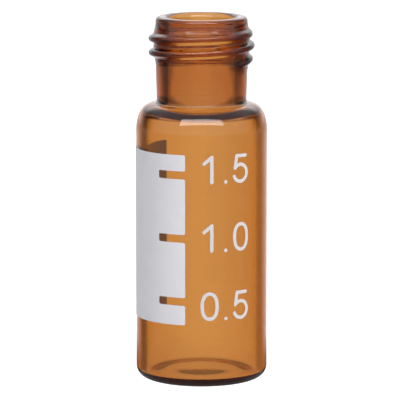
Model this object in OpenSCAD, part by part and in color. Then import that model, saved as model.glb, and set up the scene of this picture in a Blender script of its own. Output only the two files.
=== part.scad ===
// Screw-neck glass sample vial with a write-on patch.
// One formed piece of amber glass: a base with a shallow hollow under it, a straight
// tubular body, a rounded shoulder and a short neck that carries a single-start screw
// thread for the cap.
// The write-on patch is white enamel fired onto the outside of the body.
// Millimetres, +Z up. The origin is the centre of the base, on the surface it stands on.
// The front of the vial faces -Y. Angles round the vial are counted from the front.

/* [Body] */
// Height from the base to the top of the lip
vial_h = 32.2; // [30:0.1:36]
// Outside diameter of the body
body_d = 11.6; // [11.2:0.1:13]
// Height at which the straight side ends and the shoulder starts
body_h = 22.15; // [21:0.05:23]
// Thickness of the body's wall
wall = 0.9; // [0.7:0.05:1]

/* [Base] */
// Thickness of the base above the surface it stands on
base_t = 0.72; // [0.6:0.02:1.2]
// Outside radius of the heel, between the base and the side
heel_r = 1; // [0.8:0.05:1.2]
// Inside radius in the corner of the floor
floor_r = 0.3; // [0.2:0.05:0.6]
// Width of the flat ring that the vial stands on
foot_w = 0.2; // [0.1:0.05:0.4]
// Radius at which the slope inside the standing ring ends
hollow_r = 3.75; // [3.3:0.05:3.9]
// Height of the hollow under the base
hollow_h = 0.12; // [0.1:0.01:0.2]
// Radius of the low knot in the middle of the hollow, where the base was closed
knot_r = 2.3; // [1.8:0.1:3]
// How far the knot hangs down into the hollow
knot_h = 0.09; // [0.03:0.01:0.09]

/* [Shoulder] */
// Radius with which the side starts to lean in
ease_r = 4.2; // [3.6:0.1:4.5]
// Angle through which the side leans in, before the corner
ease_angle = 20.5; // [12:0.5:24]
// Outside radius of the shoulder's corner
corner_r = 1.25; // [1.15:0.05:1.5]
// Radius of the hollow between the shoulder and the neck
cove_r = 0.2; // [0.15:0.05:0.5]

/* [Neck] */
// Outside diameter of the neck where it leaves the shoulder
neck_low_d = 7.94; // [7.8:0.02:8.1]
// Outside diameter of the neck under the thread
neck_d = 8.12; // [8.1:0.02:8.3]
// Inside diameter of the neck
mouth_d = 5.9; // [5.6:0.05:6.1]
// Radius with which the mouth flares into the shoulder
throat_r = 1.7; // [1.4:0.1:2]
// Distance from the top of the lip down to the end of the neck's taper
taper_drop = 4.3; // [4:0.1:4.6]
// Outside radius of the lip
lip_out_r = 0.4; // [0.3:0.05:0.5]
// Inside radius of the lip
lip_in_r = 0.2; // [0.15:0.05:0.4]

/* [Thread] */
// Rise of the thread in one turn
pitch = 1.25; // [1.2:0.05:1.4]
// Height of the thread's crest above the neck
thread_depth = 0.63; // [0.5:0.01:0.7]
// Width of the thread where it meets the neck
thread_w = 1.12; // [1:0.02:1.14]
// Width of the thread's rounded crest
crest_w = 0.42; // [0.2:0.02:0.5]
// Length of the thread in turns, with both ends
thread_turns = 2.3; // [1.75:0.05:2.4]
// Angle over which the thread rises out of the neck at each end
fade_angle = 85; // [40:5:100]
// Angle at which the thread starts, to the right of the front
start_angle = 35; // [0:5:180]
// Distance from the top of the lip down to the start of the thread
thread_drop = 3.95; // [3.8:0.05:4.1]
// Height of the low band round the neck that the thread stands on
band_h = 0.15; // [0.05:0.05:0.2]
// Length over which the band rises out of the neck at each edge
band_slope = 0.6; // [0.3:0.1:0.8]
// Distance from the top of the lip down to the band's upper edge
band_drop = 0.9; // [0.8:0.1:1.2]

/* [Write-on patch] */
// Thickness of the fired enamel
enamel_t = 0.03; // [0.02:0.01:0.08]
// Height of the patch's lower edge above the base
patch_low = 5.65; // [4:0.05:7]
// Distance from the patch's upper edge up to the shoulder
patch_gap = 1.47; // [0.5:0.01:4]
// Angle from the front to the patch's right edge
patch_edge_angle = 14.3; // [5:0.5:40]
// Angle that the patch covers round the body
patch_angle = 132.5; // [90:0.5:160]

/* [Graduation notches] */
// Number of notches in the patch's right edge
notch_count = 3; // [1:1:3]
// Height of the lowest notch's middle above the base
notch_low = 7.72; // [7.4:0.02:8]
// Distance from one notch to the next
notch_step = 5.59; // [4.5:0.01:5.6]
// Height of each notch
notch_h = 0.7; // [0.4:0.02:1]
// Angle that each notch reaches into the patch
notch_angle = 25.4; // [15:0.5:35]

/* [Hidden] */
$fn = 144;

body_r = body_d / 2;
bore_r = body_r - wall;
neck_low_r = neck_low_d / 2;
neck_r = neck_d / 2;
mouth_r = mouth_d / 2;

// Centres of the arcs that make the shoulder's outside, each as [radius, height]
ease_c = [body_r - ease_r, body_h];
corner_c = ease_c + (ease_r - corner_r) * [cos(ease_angle), sin(ease_angle)];
cove_c = beyond(corner_r + cove_r, neck_low_r + cove_r);
// Centre of the arc with which the mouth flares into the shoulder
throat_c = beyond(corner_r - wall + throat_r, mouth_r + throat_r);

lip_z = vial_h - lip_out_r;
foot_r = body_r - heel_r - foot_w;
// Radius of the ball that the knot is a cap of
knot_ball_r = (knot_r * knot_r + knot_h * knot_h) / (2 * knot_h);

// The thread is swept in straight steps of about this angle
step_angle = 10;
thread_angle = thread_turns * 360;
thread_steps = ceil(thread_angle / step_angle);
// Share of its width that the thread still has where it starts
end_share = 0.4;
// Depth to which the thread's roots are sunk in the neck, and where its flanks start
root_depth = 0.3;
flank_depth = 0.08;

patch_h = body_h - patch_gap - patch_low;
// Extra length and angle with which cutting shapes pass through what they cut
past = 1;
past_angle = 1;

// Point at a distance from the centre of the shoulder's corner, above it, at a radius x
function beyond(distance, x) =
    [x, corner_c[1] + sqrt(pow(distance, 2) - pow(x - corner_c[0], 2))];

// Disc with its centre at a [radius, height] point
module disc(centre, r) {
    translate(centre) circle(r = r);
}

// The shoulder with both its arcs set in by a distance, up to the next arc's centre
module shoulder_outline(inset, next_c) {
    intersection() {
        disc(ease_c, ease_r - inset);
        polygon([
            ease_c, ease_c + [2 * ease_r, 0],
            ease_c + 2 * ease_r * [cos(ease_angle), sin(ease_angle)]
        ]);
    }
    disc(corner_c, corner_r - inset);
    polygon([
        [0, body_h], ease_c + [ease_r - corner_r, 0], corner_c, next_c, [0, next_c[1]]
    ]);
}

// The hollow under the base, with the knot left standing in its middle
module hollow_outline() {
    difference() {
        polygon([[0, -past], [foot_r, -past], [foot_r, 0], [hollow_r, hollow_h], [0, hollow_h]]);
        disc([0, hollow_h - knot_h + knot_ball_r], knot_ball_r);
    }
}

// Outline of the glass as if it were solid, to the right of the axis
module outer_outline() {
    difference() {
        union() {
            translate([0, heel_r]) square([body_r, body_h - heel_r]);
            square([body_r - heel_r, heel_r]);
            disc([body_r - heel_r, heel_r], heel_r);
            shoulder_outline(0, cove_c);
        }
        disc(cove_c, cove_r);
        hollow_outline();
    }
    neck_outline();
}

// The neck and the outside of the lip
module neck_outline() {
    taper_z = vial_h - taper_drop;
    band_z = vial_h - band_drop;
    band_r = neck_r + band_h;
    polygon([
        [0, cove_c[1]], [neck_low_r, cove_c[1]],
        [neck_r, taper_z], [band_r, taper_z + band_slope],
        [band_r, band_z - band_slope], [neck_r, band_z],
        [neck_r, lip_z], [0, lip_z]
    ]);
    translate([0, lip_z]) square([neck_r - lip_out_r, lip_out_r]);
    disc([neck_r - lip_out_r, lip_z], lip_out_r);
}

// Outline of the space inside the vial, open at the mouth
module cavity_outline() {
    translate([0, base_t + floor_r]) square([bore_r, body_h - base_t - floor_r]);
    translate([0, base_t]) square([bore_r - floor_r, floor_r]);
    disc([bore_r - floor_r, base_t + floor_r], floor_r);
    difference() {
        shoulder_outline(wall, throat_c);
        disc(throat_c, throat_r);
    }
    translate([0, body_h]) square([mouth_r, vial_h - body_h + past]);
    difference() {
        translate([0, vial_h - lip_in_r]) square([mouth_r + lip_in_r, lip_in_r + past]);
        disc([mouth_r + lip_in_r, vial_h - lip_in_r], lip_in_r);
    }
}

// Share of the thread's full size at an angle along it: it fades in and out
function thread_share(a) =
    let (t = min(1, a / fade_angle, (thread_angle - a) / fade_angle))
    t * t * (3 - 2 * t);

// One section of the thread at an angle along it, six points
function thread_section(a) =
    let (
        share = thread_share(a),
        slim = end_share + (1 - end_share) * share,
        half = (thread_w / 2 + flank_depth) * slim,
        crest = crest_w / 2 * slim,
        top = neck_r - flank_depth / 2 + (thread_depth + flank_depth / 2) * share,
        turn = start_angle - 90 + a,
        z = vial_h - thread_drop + pitch * a / 360
    )
    [
        for (p = [
            [neck_r - root_depth, -half], [neck_r - flank_depth, -half], [top, -crest],
            [top, crest], [neck_r - flank_depth, half], [neck_r - root_depth, half]
        ])
        [p[0] * cos(turn), p[0] * sin(turn), z + p[1]]
    ];

// Right-hand, single-start thread as a ridge round the neck
module thread() {
    n = 6;
    points = [
        for (i = [0 : thread_steps])
        each thread_section(thread_angle * i / thread_steps)
    ];
    sides = [
        for (i = [0 : thread_steps - 1], j = [0 : n - 1])
        let (k = (j + 1) % n)
        each [
            [i * n + j, i * n + k, (i + 1) * n + k],
            [i * n + j, (i + 1) * n + k, (i + 1) * n + j]
        ]
    ];
    first = [for (j = [n - 1 : -1 : 0]) j];
    last = [for (j = [0 : n - 1]) thread_steps * n + j];
    polyhedron(points = points, faces = concat([first], sides, [last]));
}

// The glass, blown and formed as one piece
module vial_glass() {
    color([0.72, 0.43, 0.14])
    union() {
        rotate_extrude()
        difference() {
            outer_outline();
            cavity_outline();
        }
        thread();
    }
}

// Curved strip of enamel on the body, with its right-hand edge at an angle from the front
module enamel_strip(edge_angle, strip_angle, low, height, inner, outer) {
    rotate([0, 0, -90 - edge_angle - strip_angle])
    rotate_extrude(angle = strip_angle)
    translate([inner, low])
    square([outer - inner, height]);
}

// White patch to write on, with a notch for each graduation
module write_on_patch() {
    color([0.84, 0.85, 0.87])
    difference() {
        enamel_strip(patch_edge_angle, patch_angle, patch_low, patch_h, body_r, body_r + enamel_t);
        for (i = [0 : notch_count - 1])
            enamel_strip(
                patch_edge_angle - past_angle, notch_angle + past_angle,
                notch_low + i * notch_step - notch_h / 2, notch_h, body_r - past, body_r + past
            );
    }
}

vial_glass();
write_on_patch();
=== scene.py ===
import math

import bpy
import numpy as np
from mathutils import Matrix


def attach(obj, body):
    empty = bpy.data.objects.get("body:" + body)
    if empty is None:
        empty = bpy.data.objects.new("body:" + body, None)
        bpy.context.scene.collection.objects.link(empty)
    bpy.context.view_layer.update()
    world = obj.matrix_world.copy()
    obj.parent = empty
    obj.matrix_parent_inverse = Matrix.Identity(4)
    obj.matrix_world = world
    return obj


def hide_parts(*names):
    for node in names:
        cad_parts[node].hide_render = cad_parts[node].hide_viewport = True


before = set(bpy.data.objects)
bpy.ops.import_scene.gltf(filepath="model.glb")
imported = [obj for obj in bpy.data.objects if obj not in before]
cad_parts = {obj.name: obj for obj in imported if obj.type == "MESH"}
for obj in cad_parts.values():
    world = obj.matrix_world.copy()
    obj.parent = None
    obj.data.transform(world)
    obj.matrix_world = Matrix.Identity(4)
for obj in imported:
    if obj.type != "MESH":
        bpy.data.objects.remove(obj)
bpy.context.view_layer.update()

mm = 0.001


# ---- Camera -------------------------------------------------------------------------
# A long lens 0.3 m away, a little above the vial and square to its front. It has no lens
# shift, and its depth of field is off.
camera_place = np.array([0.0, -308.0, 66.0]) * mm
camera_aim = np.array([-0.139, 0.0, 15.84]) * mm
lens_mm = 317.1


def look_at(place, aim):
    """Turning angles that point -Z of a camera or a light from place to aim, with +Y up: 90
    degrees and the slope of the way there about X, then the way's own turn about Z."""
    x, y, z = np.asarray(aim) - np.asarray(place)
    tilt = math.pi / 2 + math.atan2(z, math.hypot(x, y))
    return tilt, 0.0, math.atan2(-x, y)


camera_data = bpy.data.cameras.new("camera")
camera_data.lens = lens_mm
camera_data.clip_end = 10.0
camera = bpy.data.objects.new("camera", camera_data)
camera.location = camera_place
camera.rotation_euler = look_at(camera_place, camera_aim)
bpy.context.collection.objects.link(camera)
bpy.context.scene.camera = camera


# ---- The glass ----------------------------------------------------------------------
# The vial is one piece of amber glass, formed at both ends from a length of tube: the
# base is closed with a slight hollow under it, the shoulder is drawn in, and the thread is
# moulded on the neck.
body_r, bore_r = 5.8 * mm, 4.9 * mm
vial_h = 32.2 * mm
wall = body_r - bore_r
base_t, heel_r, floor_r, foot_w = 0.77 * mm, 1.08 * mm, 0.15 * mm, 0.03 * mm
hollow_r, hollow_h, knot_r, knot_h = 3.2 * mm, 0.17 * mm, 2.75 * mm, 0.1 * mm
shoulder_z, ease_r, ease_turn = 22.15 * mm, 4.2 * mm, math.radians(20.5)
corner_r, cove_r = 1.45 * mm, 0.25 * mm
lean_in, inner_r = math.radians(19.3), 0.42 * mm
neck_low_r, neck_r, mouth_r, throat_r = 3.97 * mm, 4.06 * mm, 2.95 * mm, 1.9 * mm
taper_z = vial_h - 4.3 * mm
lip_out_r, lip_in_r = 0.3 * mm, 0.45 * mm


def arc(centre, radius, start, end, count):
    """Points centre + radius (cos a, sin a), with a from start to end in degrees."""
    a = np.radians(np.linspace(start, end, count))
    return np.column_stack([centre[0] + radius * np.cos(a), centre[1] + radius * np.sin(a)])


def straight(start, end, count):
    """Points from start to end, closer together at both ends, at (1 - cos t) / 2 of the way."""
    share = (1 - np.cos(np.linspace(0, math.pi, count + 2)[1:-1])) / 2
    return np.outer(1 - share, start) + np.outer(share, end)


def underside(foot_r):
    """Profile under the base, from the middle to the foot at foot_r: a shallow hollow
    hollow_h (3 u^2 - 2 u^3) high, u from the foot to hollow_r, less the low knot in the
    middle, knot_h (1 - (r / knot_r)^2)^2."""
    r = np.linspace(0, foot_r, 60)
    u = np.clip((foot_r - r) / (foot_r - hollow_r), 0, 1)
    knot = knot_h * np.clip(1 - (r / knot_r) ** 2, 0, 1) ** 2
    return np.column_stack([r, hollow_h * u * u * (3 - 2 * u) - knot])


def vial_profile():
    """Outline of the glass as (radius, height), from under the base out, up, over the lip
    and in. Each arc touches the next: their centres lie the sum of their radii apart where
    the curve turns back, and the difference where it doesn't. The last number of each
    stretch is its count of points."""
    foot_r = body_r - heel_r - foot_w
    ease_x = body_r - ease_r
    ease_end = math.degrees(ease_turn)
    corner_x = ease_x + (ease_r - corner_r) * math.cos(ease_turn)
    corner_z = shoulder_z + (ease_r - corner_r) * math.sin(ease_turn)
    cove_x = neck_low_r + cove_r
    cove_z = corner_z + math.sqrt((corner_r + cove_r) ** 2 - (cove_x - corner_x) ** 2)
    lean = math.degrees(math.atan2(cove_z - corner_z, cove_x - corner_x))
    inner_end = math.degrees(lean_in)
    inner_x = ease_x + (ease_r - wall - inner_r) * math.cos(lean_in)
    inner_z = shoulder_z + (ease_r - wall - inner_r) * math.sin(lean_in)
    throat_x = mouth_r + throat_r
    throat_z = inner_z + math.sqrt((throat_r + inner_r) ** 2 - (throat_x - inner_x) ** 2)
    flare = math.degrees(math.atan2(throat_z - inner_z, throat_x - inner_x))
    lip_z = vial_h - lip_out_r
    neck_z = np.linspace(taper_z, lip_z - 0.02 * mm, 110)
    return np.vstack([
        underside(foot_r),
        straight((foot_r, 0), (body_r - heel_r, 0), 4),
        arc((body_r - heel_r, heel_r), heel_r, -90, 0, 26),
        straight((body_r, heel_r), (body_r, shoulder_z), 16),
        arc((ease_x, shoulder_z), ease_r, 0, ease_end, 12),
        arc((corner_x, corner_z), corner_r, ease_end, lean, 26)[1:],
        arc((cove_x, cove_z), cove_r, 180 + lean, 180, 8)[1:],
        straight((neck_low_r, cove_z), (neck_r, taper_z), 10),
        np.column_stack([np.full_like(neck_z, neck_r), neck_z]),
        arc((neck_r - lip_out_r, lip_z), lip_out_r, 0, 90, 14),
        straight((neck_r - lip_out_r, vial_h), (mouth_r + lip_in_r, vial_h), 3),
        arc((mouth_r + lip_in_r, vial_h - lip_in_r), lip_in_r, 90, 180, 12),
        straight((mouth_r, vial_h - lip_in_r), (mouth_r, throat_z), 12),
        arc((throat_x, throat_z), throat_r, 180, 180 + flare, 18),
        arc((inner_x, inner_z), inner_r, flare, inner_end, 12)[1:],
        arc((ease_x, shoulder_z), ease_r - wall, inner_end, 0, 10)[1:],
        straight((bore_r, shoulder_z), (bore_r, base_t + floor_r), 16),
        arc((bore_r - floor_r, base_t + floor_r), floor_r, 0, -90, 16),
        straight((bore_r - floor_r, base_t), (0, base_t), 12),
        [(0, base_t)],
    ])


thread_pitch, thread_sag = 1.25 * mm, 0.57 * mm
rib_h, rib_half, swell_h, swell_half = 0.43 * mm, 0.5 * mm, 0.2 * mm, 1.2 * mm
thread_turn, fade_in, fade_out = math.radians(985), math.radians(85), math.radians(300)
thread_from, thread_low = math.radians(-55), vial_h - 3.985 * mm


def thread_height(turn, z):
    """Height of the thread above the neck: for each passing turn of the helix z = low + pitch
    a / 2 pi, a round-backed rib cos^2(90 u^1.7 degrees) on a low swell cos^2(90 v degrees), u
    and v the distances over the half widths. A smooth step brings it in over fade_in, and over
    the last fade_out it falls evenly to nothing and sags by thread_sag."""
    height = np.zeros_like(turn + z)
    first = np.mod(turn - thread_from, 2 * math.pi)
    for lap in range(3):
        along = first + lap * 2 * math.pi
        fade = np.clip(along / fade_in, 0, 1)
        run_out = np.clip((thread_turn - along) / fade_out, 0, 1)
        share = fade * fade * (3 - 2 * fade) * run_out
        sag = thread_sag * (1 - run_out)
        off = np.abs(z - thread_low - thread_pitch * along / (2 * math.pi) + sag)
        rib = np.cos(np.minimum(off / rib_half, 1) ** 1.7 * math.pi / 2) ** 2
        swell = np.cos(np.minimum(off / swell_half, 1) * math.pi / 2) ** 2
        height += share * (rib_h * rib + swell_h * swell)
    return height


def add_piece(name, corners, faces):
    """A piece from its corners and its faces, lists of corner numbers, added to the scene."""
    mesh = bpy.data.meshes.new(name)
    mesh.from_pydata(corners, [], faces)
    piece = bpy.data.objects.new(name, mesh)
    bpy.context.collection.objects.link(piece)
    return piece


def closed_surface(name, grids):
    """Piece from grids of points [ring, step round, xyz]: quads join each ring to the next and
    run round it. A grid whose last ring is its first is a loop, and any other closes on a
    point at the middle of each end ring."""
    corners, faces, count = [], [], 0
    for points in grids:
        loop = np.allclose(points[0], points[-1])
        points = points[:-1] if loop else points
        rings, steps = points.shape[:2]
        index = count + np.arange(rings * steps).reshape(rings, steps)
        index = np.vstack([index, index[:1]]) if loop else index
        after = np.roll(index, -1, axis=1)
        quads = np.stack([index[:-1], after[:-1], after[1:], index[1:]], axis=-1)
        faces += quads.reshape(-1, 4).tolist()
        corners.append(points.reshape(-1, 3))
        count += rings * steps
        if not loop:
            faces += np.column_stack([np.full(steps, count), after[0], index[0]]).tolist()
            faces += np.column_stack([np.full(steps, count + 1), index[-1], after[-1]]).tolist()
            corners.append([points[0].mean(0), points[-1].mean(0)])
            count += 2
    piece = add_piece(name, np.vstack(corners), faces)
    piece.data.shade_smooth()
    return piece


def turned(profile, steps):
    """Grid of the profile turned about Z, (r cos a, r sin a, z). Its points before the first
    at the top are the outside, where the thread's height is added to r."""
    turn = np.linspace(0, 2 * math.pi, steps, endpoint=False)
    radius, z = profile[:, :1], profile[:, 1:]
    top = np.argmax(profile[:, 1] > vial_h - 0.0001 * mm)
    outside = np.arange(len(profile))[:, None] < top
    radius = radius + outside * thread_height(turn, z)
    return np.stack([
        radius * np.cos(turn), radius * np.sin(turn), np.broadcast_to(z, radius.shape)
    ], axis=-1)


steps_around = 252
glass = closed_surface("amber_glass_vial", [turned(vial_profile()[1:-1], steps_around)])


class Value:
    """A shader socket whose + - * / and > add Math nodes, with a number on either side."""

    def __init__(self, tree, socket):
        self.tree, self.socket = tree, socket

    def math(self, operation, *others):
        """One Math node on this value and the others."""
        return self.tree.node("ShaderNodeMath", {"operation": operation}, [self, *others])

    def __add__(self, other):
        return self.math("ADD", other)

    def __sub__(self, other):
        return self.math("SUBTRACT", other)

    def __rsub__(self, other):
        return self.tree.node("ShaderNodeMath", {"operation": "SUBTRACT"}, [other, self])

    def __mul__(self, other):
        return self.math("MULTIPLY", other)

    def __truediv__(self, other):
        return self.math("DIVIDE", other)

    def __rtruediv__(self, other):
        return self.tree.node("ShaderNodeMath", {"operation": "DIVIDE"}, [other, self])

    def __gt__(self, other):
        return self.math("GREATER_THAN", other)

    def __lt__(self, other):
        return self.math("LESS_THAN", other)

    __radd__, __rmul__ = __add__, __mul__

    def ramp(self, low, high):
        """A smooth step, 3 t^2 - 2 t^3: 0 up to low, 1 from high."""
        return self.tree.node("ShaderNodeMapRange", {"interpolation_type": "SMOOTHSTEP"}, {
            "Value": self, "From Min": low, "From Max": high,
        })


class Finish:
    """The nodes of a material or of the world."""

    def __init__(self, owner):
        owner.use_nodes = True
        self.tree = owner.node_tree
        self.tree.nodes.clear()

    def node(self, kind, settings=None, inputs=None, output=0):
        """Adds a node: its settings first, then its inputs, by name or in order, each a plain
        value or a link. Gives back the output asked for."""
        made = self.tree.nodes.new(kind)
        for name, value in (settings or {}).items():
            setattr(made, name, value)
        pairs = inputs.items() if isinstance(inputs, dict) else enumerate(inputs or [])
        for name, value in pairs:
            if isinstance(value, Value):
                self.tree.links.new(value.socket, made.inputs[name])
            else:
                made.inputs[name].default_value = value
        return Value(self, made.outputs[output]) if len(made.outputs) else made


# Amber glass: clear, fire polished, coloured through its thickness. amber_loss is how much
# red, green and blue it takes out of the light per metre. The pairs are heights between
# which something begins or ends.
amber_loss, refraction = np.array([320.0, 810.0, 1700.0]), 1.52
mould_from, mould_to = np.array([[27.2, 28.4], [31.2, 31.8]]) * mm
neck_from, neck_to = np.array([[23.4, 24.4], [27.0, 29.5]]) * mm
lip_from, base_to = np.array([[30.9, 31.3], [0.8, 1.6]]) * mm
# Colours that darken the glass: painted shade on the neck and round the lip, and faintly darker on
# the base.
neck_shade, lip_shade, base_darkening = (0.94, 0.88, 0.93), (0.85, 0.68, 0.45), (0.99, 0.93, 0.92)
thread_relief, polish_depth, mark_strength, mark_roughness = 0.8, 0.05 * mm, 4.0, 0.1
amber = bpy.data.materials.new("amber_glass")
finish = Finish(amber)
place = finish.node("ShaderNodeTexCoord", output="Object")
height = finish.node("ShaderNodeSeparateXYZ", {}, [place], 2)
# Drawn tube is very slightly wavy, about 2.5 mm from wave to wave. The mould leaves fine
# flat marks on the thread, between the neck and the fire-polished lip.
ripple = finish.node("ShaderNodeTexNoise", {}, {"Vector": place, "Scale": 400.0, "Detail": 2.0})
flat = finish.node("ShaderNodeVectorMath", {"operation": "MULTIPLY"}, [place, (1.0, 1.0, 3.0)])
marks = finish.node("ShaderNodeTexNoise", {}, {"Vector": flat, "Scale": 1500.0, "Detail": 3.0})
moulded = height.ramp(*mould_from) * (1 - height.ramp(*mould_to))
# Painted shade: the tint darkens the glass a little on the neck, less so where the thread is,
# and most and warmest round the lip, where less light comes through. It is faintly darker on the
# base too.
painted_shade_tint = (1, 1, 1, 1)
for darkened, colour in [
    (height.ramp(*neck_from) * (1 - height.ramp(*neck_to) * thread_relief), neck_shade),
    (height.ramp(*lip_from), lip_shade),
    (1 - height.ramp(*base_to), base_darkening),
]:
    painted_shade_tint = finish.node("ShaderNodeMix", {"data_type": "RGBA"}, {
        "Factor": darkened, "A": painted_shade_tint, "B": (*colour, 1),
    }, "Result")
bump = finish.node("ShaderNodeBump", {}, {
    "Strength": 0.05, "Distance": polish_depth,
    "Height": ripple + moulded * marks * mark_strength,
})
shader = finish.node("ShaderNodeBsdfPrincipled", {}, {
    "Base Color": painted_shade_tint, "Roughness": moulded * mark_roughness, "IOR": refraction,
    "Transmission Weight": 1.0, "Normal": bump,
})
depth = finish.node("ShaderNodeVolumeAbsorption", {}, {
    "Color": (*(1 - amber_loss / amber_loss.max()), 1), "Density": amber_loss.max(),
})
finish.node("ShaderNodeOutputMaterial", {}, {"Surface": shader, "Volume": depth})
glass.data.materials.append(amber)

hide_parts("vial_glass")
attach(glass, "root")


# ---- The patch to write on ----------------------------------------------------------
# A thin coat of matt white enamel, screened on the outside of the body and fired into
# the glass. Three notches in its right edge line up with the graduation numbers.
enamel_t, enamel_sink = 0.03 * mm, 0.004 * mm
# Painted light: the faint glow given to the enamel's underside, seen through the glass.
painted_underside_glow = (0.13, 0.2, 0.6)
patch_low, patch_high, patch_r = 5.65 * mm, 20.68 * mm, 0.15 * mm
patch_edge, patch_turn = math.radians(-14.3), math.radians(127.1)
notch_low, notch_step, notch_h, notch_deep = 7.72 * mm, 5.59 * mm, 0.7 * mm, math.radians(25.4)
notch_count = 3


def rounding(distance, radius):
    """How far a rounded corner pulls an edge in, at a distance from the corner: radius less
    the circle's height there, and nothing past the radius."""
    reach = np.clip(1 - distance / radius, 0, 1)
    return radius * (1 - np.sqrt(1 - reach**2))


def spread(stops, fine, step):
    """Places from the first stop to the last, step apart, and closer together near each stop,
    fine (1 - sqrt(1 - t^2)) away on both sides, as a round corner needs."""
    places = [np.arange(stops[0], stops[-1], step)]
    close = np.linspace(-1, 1, 13)
    places += [stop + fine * np.sign(close) * (1 - np.sqrt(1 - close**2)) for stop in stops]
    return np.unique(np.clip(np.concatenate(places), stops[0], stops[-1]))


def patch_grid():
    """Columns run along the arc s = r a, from the right edge (0) to the left, and rows follow
    the patch's lower edge, both edges of each notch and the upper edge. Returns the distance
    along the arc and the height of each point, and which cells are enamel."""
    width, deep = patch_turn * body_r, notch_deep * body_r
    along = spread([0, deep, width], patch_r, 0.3 * mm)
    ends = np.minimum(along, width - along)
    right, tip = rounding(along, patch_r), rounding(deep - along, patch_r)
    tip = np.where(along <= deep, tip, patch_r)
    rows = [patch_low + rounding(ends, patch_r)]
    for k in range(notch_count):
        middle = notch_low + k * notch_step
        rows.append(middle - notch_h / 2 - right + tip)
        rows.append(middle + notch_h / 2 + right - tip)
    rows.append(patch_high - rounding(ends, patch_r))
    rows = np.array(rows)
    filled = np.ones((len(rows) - 1, len(along) - 1), bool)
    filled[1::2] = along[:-1] >= deep - 1e-6 * mm
    return along, rows, filled


def coat(name, under, over, filled):
    """Piece of a thin coat between two grids of points [row, column, xyz], where filled is
    true: quads on both faces, and a quad between them at each side that only one cell has."""
    rows, columns = over.shape[:2]
    index = np.arange(rows * columns).reshape(rows, columns)
    cells = np.stack([index[:-1, :-1], index[:-1, 1:], index[1:, 1:], index[1:, :-1]], axis=-1)
    top = cells[filled]
    start, end = top.ravel(), np.roll(top, -1, axis=1).ravel()
    lone = ~np.isin(end * index.size + start, start * index.size + end)
    start, end = start[lone], end[lone]
    sides = np.column_stack([end, start, start + index.size, end + index.size])
    quads = np.vstack([top, top[:, ::-1] + index.size, sides])
    used, quads = np.unique(quads, return_inverse=True)
    corners = np.vstack([over.reshape(-1, 3), under.reshape(-1, 3)])[used]
    piece = add_piece(name, corners, quads.reshape(-1, 4).tolist())
    piece.data.shade_smooth()
    piece.data.set_sharp_from_angle(angle=math.radians(40))
    return piece


def on_body(along, z, radius):
    """Point of the body's outside: the angle from the front (-Y) is along / body radius."""
    a = along / body_r
    return np.stack([radius * np.sin(a), -radius * np.cos(a), z], axis=-1)


along, rows, filled = patch_grid()
sheet = np.broadcast_to(patch_edge * body_r - along, rows.shape)[:, ::-1]
rows, filled = rows[:, ::-1], filled[:, ::-1]
patch = coat(
    "write_on_patch_enamel", on_body(sheet, rows, body_r - enamel_sink),
    on_body(sheet, rows, body_r + enamel_t), filled,
)


def enamel(name, dark, light):
    """Matt enamel with a fine grain, clouded between two tones. Its underside has a faint painted
    glow, which stands in for light through the thin coat, by a smooth step that is 1 inside the
    body's radius and 0 outside."""
    material = bpy.data.materials.new(name)
    finish = Finish(material)
    place = finish.node("ShaderNodeTexCoord", output="Object")
    grain = finish.node("ShaderNodeTexNoise", {}, {
        "Vector": place, "Scale": 9000.0, "Detail": 3.0,
    })
    cloud = finish.node("ShaderNodeTexNoise", {}, {"Vector": place, "Scale": 700.0, "Detail": 3.0})
    tone = finish.node("ShaderNodeMix", {"data_type": "RGBA"}, {
        "Factor": cloud, "A": (*dark, 1), "B": (*light, 1),
    }, "Result")
    bump = finish.node("ShaderNodeBump", {}, {
        "Strength": 0.3, "Distance": 0.01 * mm, "Height": grain,
    })
    flat = finish.node("ShaderNodeVectorMath", {"operation": "MULTIPLY"}, [place, (1.0, 1.0, 0.0)])
    radius = finish.node("ShaderNodeVectorMath", {"operation": "LENGTH"}, [flat], "Value")
    underside = 1 - radius.ramp(body_r - enamel_sink / 2, body_r + enamel_sink / 2)
    # Painted light: the underside glows faintly.
    underside_glow = finish.node("ShaderNodeVectorMath", {"operation": "SCALE"}, {
        "Vector": painted_underside_glow, "Scale": underside,
    })
    shader = finish.node("ShaderNodeBsdfPrincipled", {}, {
        "Base Color": tone, "Roughness": 0.6, "Normal": bump, "Emission Color": underside_glow,
        "Emission Strength": 1.0,
    })
    finish.node("ShaderNodeOutputMaterial", {}, {"Surface": shader})
    return material


patch.data.materials.append(enamel("white_enamel", (0.60, 0.595, 0.63), (0.66, 0.655, 0.69)))

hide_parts("write_on_patch")
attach(patch, "root")


# ---- The graduation numbers ---------------------------------------------------------
# Plain strokes of the same white enamel, screened and fired with the patch, one number
# right of each notch: 1.5, 1.0 and 0.5. Each stroke is a low bead with round ends.
stroke_r, bead_t, cap_rings = 0.16 * mm, 0.03 * mm, 7


def bow(centre, across, up, start, end, power=1.0):
    """Points centre + (across c, up s), c and s the cosine and sine of an angle from start to
    end in degrees, each raised to a power that squares the bow off when it is below 1."""
    a = np.radians(np.linspace(start, end, 49))
    c, s = np.cos(a), np.sin(a)
    x = centre[0] + across * np.sign(c) * np.abs(c) ** power
    return np.column_stack([x, centre[1] + up * np.sign(s) * np.abs(s) ** power]) * mm


def line(start, end):
    """Points of a straight stroke, evenly spaced from start to end."""
    return np.linspace(start, end, 7) * mm


one = [line((0.26, 1.80), (0.93, 2.37)), line((0.93, 2.37), (0.93, 0.17))]
zero = [bow((0.85, 1.285), 0.66, 1.115, 360, 0, 0.87)]
five = [
    line((1.33, 2.40), (0.41, 2.40)), line((0.41, 2.40), (0.25, 1.33)),
    bow((0.79, 0.88), 0.69, 0.74, 143, -157),
]
dot = [line((0, 0.165), (0, 0.175))]


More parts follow.
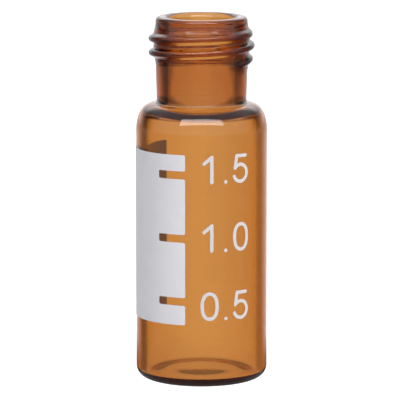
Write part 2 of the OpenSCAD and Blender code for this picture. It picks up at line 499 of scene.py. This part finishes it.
def bead(points):
    """Grid of a bead along the centre line: at each point a ring, flat underneath and
    bead_t sqrt(sin t) high above, narrowed to a half circle past both ends of an open line."""
    ahead = np.gradient(points, axis=0)
    if np.allclose(points[0], points[-1]):
        ahead[0] = ahead[-1] = ahead[0] + ahead[-1]
        half = np.full(len(points), stroke_r)
    else:
        ahead /= np.hypot(*ahead.T)[:, None]
        cap = np.radians(np.linspace(84, 12, cap_rings))
        reach, narrow = stroke_r * np.sin(cap)[:, None], stroke_r * np.cos(cap)
        points = np.vstack([
            points[0] - reach * ahead[0], points, points[-1] + reach[::-1] * ahead[-1]
        ])
        half = np.concatenate([narrow, np.full(len(ahead), stroke_r), narrow[::-1]])
        ahead = np.vstack([
            np.tile(ahead[0], (cap_rings, 1)), ahead, np.tile(ahead[-1], (cap_rings, 1))
        ])
    ahead /= np.hypot(*ahead.T)[:, None]
    left = np.column_stack([-ahead[:, 1], ahead[:, 0]])
    t = np.linspace(0, 2 * math.pi, 16, endpoint=False)
    flat = points[:, None] + left[:, None] * (half[:, None] * np.cos(t))[..., None]
    rise = np.where(np.sin(t) > -0.1, bead_t * np.sqrt(np.clip(np.sin(t), 0, 1)), -enamel_sink)
    rise = np.minimum(rise, bead_t * (half / stroke_r)[:, None] ** 0.5)
    return on_body(flat[..., 0], flat[..., 1], body_r + rise)


# Each number's height above the base, and its strokes with their places along the body
beads = []
for low_z, digits in [
    (6.05, [(zero, -0.14), (dot, 2.18), (five, 2.86)]),
    (12.11, [(one, -0.04), (dot, 2.15), (zero, 2.82)]),
    (18.14, [(one, -0.04), (dot, 2.15), (five, 2.81)]),
]:
    for digit, start in digits:
        beads += [bead(stroke + np.array([start, low_z]) * mm) for stroke in digit]

numbers = closed_surface("graduation_numbers", beads)
numbers.data.materials.append(enamel("number_enamel", (0.55, 0.52, 0.52), (0.61, 0.57, 0.57)))

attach(numbers, "root")


# ---- The stage ----------------------------------------------------------------------
# A pale floor under an even sky, with one soft key light. Dark screens and bright boxes
# that only the glass shows give it its dark edges and its highlights.


def mirrored(finish):
    """1 where a ray comes straight from a reflection off a shiny surface, otherwise 0: the
    product of the two marks that such a ray carries."""
    shiny = finish.node("ShaderNodeLightPath", output="Is Glossy Ray")
    return shiny * finish.node("ShaderNodeLightPath", output="Is Reflection Ray")


# The floor is a matt pale sheet that gives light of its own, and a little more to the camera
# alone: painted light that hides the vial's shadow. In what the glass mirrors it is painted dark
# in front and beside the vial and bright behind it, most from 25 to 120 mm away. back is 1
# straight behind the vial's side, 0 beside it and -1 in front.
floor_reach, foot_side = 1.2, 5.7 * mm
floor_light, camera_glow_extra, mirrored_loss, side_loss, far_loss = 0.8, 0.3, 0.6, 0.2, 0.5
near_from, far_from = np.array([[8, 25], [120, 200]]) * mm
side_from, behind_from = (-0.3, 0.2), (0.55, 1.05)
floor = add_piece("floor", [
    (-floor_reach, -floor_reach, 0), (floor_reach, -floor_reach, 0),
    (floor_reach, floor_reach, 0), (-floor_reach, floor_reach, 0),
], [(0, 1, 2, 3)])
pale = bpy.data.materials.new("pale_floor")
finish = Finish(pale)
direct = finish.node("ShaderNodeLightPath", output="Is Camera Ray")
gloss = mirrored(finish)
place = finish.node("ShaderNodeTexCoord", output="Object")
x, y = [finish.node("ShaderNodeSeparateXYZ", {}, [place], axis) for axis in (0, 1)]
way = finish.node("ShaderNodeVectorMath", {"operation": "NORMALIZE"}, [
    finish.node("ShaderNodeCombineXYZ", {}, [x.math("ABSOLUTE") - foot_side, y])
])
back = finish.node("ShaderNodeSeparateXYZ", {}, [way], 1)
away = finish.node("ShaderNodeVectorMath", {"operation": "LENGTH"}, [place], "Value")
far = away.ramp(*far_from)
behind = back.ramp(*behind_from) * (away.ramp(*near_from) - far * far_loss)
dimmed = back.ramp(*side_from) * (1 - far) * side_loss
# Painted reflection: the darker colour shows only in what the glass mirrors.
tone = finish.node("ShaderNodeMix", {"data_type": "RGBA"}, {
    "Factor": gloss, "A": (0.4, 0.4, 0.4, 1), "B": (0.1, 0.1, 0.1, 1),
}, "Result")
# Painted light: only the camera sees the extra glow, which hides the vial's shadow. What the glass
# mirrors is a painted reflection.
light = floor_light + direct * camera_glow_extra + gloss * (behind - dimmed - mirrored_loss)
glow = finish.node("ShaderNodeVectorMath", {"operation": "SCALE"}, {
    "Vector": (1.0, 1.0, 1.0), "Scale": light,
})
shader = finish.node("ShaderNodeBsdfPrincipled", {}, {
    "Base Color": tone, "Roughness": 0.9, "Emission Color": glow, "Emission Strength": 1.0,
})
finish.node("ShaderNodeOutputMaterial", {}, {"Surface": shader})
floor.data.materials.append(pale)

# Four dark gauze strips stand close round the vial. The camera doesn't see them, and only the
# glass shows them. Each starts flat on the floor, turns up beside the vial and closes in round
# the neck, and it stops most light in its middle and none at its edges.
strip_off, strip_steps = 5.0 * mm, 13
strip_rows = np.array([
    # Height and distance out (mm), angles of both edges (degrees), share stopped left, right
    (0.1, 4.0, 25, 57, 0.63, 0.36),
    (0.1, 19.4, 25, 57, 0.63, 0.36),
    (17.0, 19.4, 25, 57, 0.63, 0.36),
    (21.0, 19.4, 17, 74, 0.72, 0.5),
    (24.0, 19.4, 15, 76, 0.82, 0.65),
    (26.5, 19.4, 5, 80, 0.9, 0.75),
    (28.2, 19.4, -12, 85, 1.0, 0.9),
    (29.4, 19.4, -12, 85, 1.0, 0.9),
    (29.8, 19.4, 0, 85, 1.0, 0.8),
    (40.0, 19.4, 0, 85, 1.0, 0.8),
])
strip_z, strip_out = strip_rows[:, :2].T * mm
first_edge, last_edge = np.radians(strip_rows[:, 2:4].T)
left_share, right_share = strip_rows[:, 4:].T
along = np.linspace(0, 1, strip_steps)[:, None]
turn = first_edge + along * (last_edge - first_edge)
strip = np.dstack([
    strip_off * np.cos(turn) + strip_out * np.sin(turn),
    strip_out * np.cos(turn) - strip_off * np.sin(turn),
    np.broadcast_to(strip_z, turn.shape),
])
corners = np.stack([strip * (x, y, 1) for x in (1, -1) for y in (1, -1)])
share = np.array([right_share, right_share, left_share, left_share])[:, None]
index = np.arange(corners[..., 0].size).reshape(corners.shape[:3])
quads = np.stack([
    index[:, :-1, :-1], index[:, 1:, :-1], index[:, 1:, 1:], index[:, :-1, 1:]
], axis=-1)
strips = add_piece("gauze_strips", corners.reshape(-1, 3), quads.reshape(-1, 4).tolist())
stops = strips.data.attributes.new("stops", "FLOAT", "POINT")
stops.data.foreach_set("value", (share * (4 * along * (1 - along))).ravel())
strips.visible_camera = strips.visible_diffuse = strips.visible_shadow = False
gauze = bpy.data.materials.new("dark_gauze")
finish = Finish(gauze)
stopped = finish.node("ShaderNodeAttribute", {"attribute_name": "stops"}, output="Fac")
shader = finish.node("ShaderNodeMixShader", {}, [
    stopped * (1 - mirrored(finish)), finish.node("ShaderNodeBsdfTransparent"),
    finish.node("ShaderNodeBsdfDiffuse", {}, {"Color": (0.01, 0.01, 0.01, 1)}),
])
finish.node("ShaderNodeOutputMaterial", {}, {"Surface": shader})
strips.data.materials.append(gauze)

# A large soft key light on the right in front, for the enamel.
key_place, key_aim = np.array([300, -420, 300]) * mm, np.array([0, 0, 15]) * mm
key_size, key_power = 0.25, 1.9
key_data = bpy.data.lights.new("key_light", "AREA")
key_data.size, key_data.energy = key_size, key_power
key = bpy.data.objects.new("key_light", key_data)
key.location = key_place
key.rotation_euler = look_at(key_place, key_aim)
key.visible_glossy = key.visible_transmission = False
bpy.context.collection.objects.link(key)

# The sky is even, and weaker on dull surfaces. Shiny ones mirror it with dark screens low
# down beside the vial and a brighter band low behind it, a strong soft box up in front, and
# a weak one up behind. The front box's edges are slopes, and the other edges are sines.
sky_light, dull_loss, mirrored_light = 1.05, 0.57, 0.9
low_back_light, low_screen, box_light = 0.35, 0.8, 6.0
box_side, box_low, box_high = (0.85, 0.90), (0.44, 0.48), (1.15, 1.25)
rear_from, rear_low = (0.6, 0.85), (0.3, 0.45)
low_to, side_from, behind_from = (0.35, 0.6), (-0.2, 0.3), (0.5, 0.95)
world = bpy.data.worlds.new("studio")
bpy.context.scene.world = world
finish = Finish(world)
gloss = mirrored(finish)
dull = finish.node("ShaderNodeLightPath", output="Is Diffuse Ray")
way = finish.node("ShaderNodeTexCoord", output="Generated")
side, back, rise = [finish.node("ShaderNodeSeparateXYZ", {}, [way], axis) for axis in range(3)]
ahead = back * -1
across, up = side.math("ABSOLUTE") / ahead, rise / ahead
box = (1 - across.ramp(*box_side)) * up.ramp(*box_low) * (1 - up.ramp(*box_high))
rear = back.ramp(*rear_from) * rise.ramp(*rear_low)
low_band = 1 - rise.ramp(*low_to)
behind = back.ramp(*behind_from)
beside = back.ramp(*side_from) - behind
shine = mirrored_light + low_band * (behind * low_back_light - beside * low_screen)
shine = shine + box * (ahead > 0) * box_light + rear
sky = finish.node("ShaderNodeBackground", {}, {
    "Color": (1, 1, 1, 1),
    "Strength": sky_light + gloss * (shine - sky_light) - dull * dull_loss,
})
finish.node("ShaderNodeOutputWorld", {}, {"Surface": sky})

bpy.context.scene.view_settings.view_transform = "Standard"
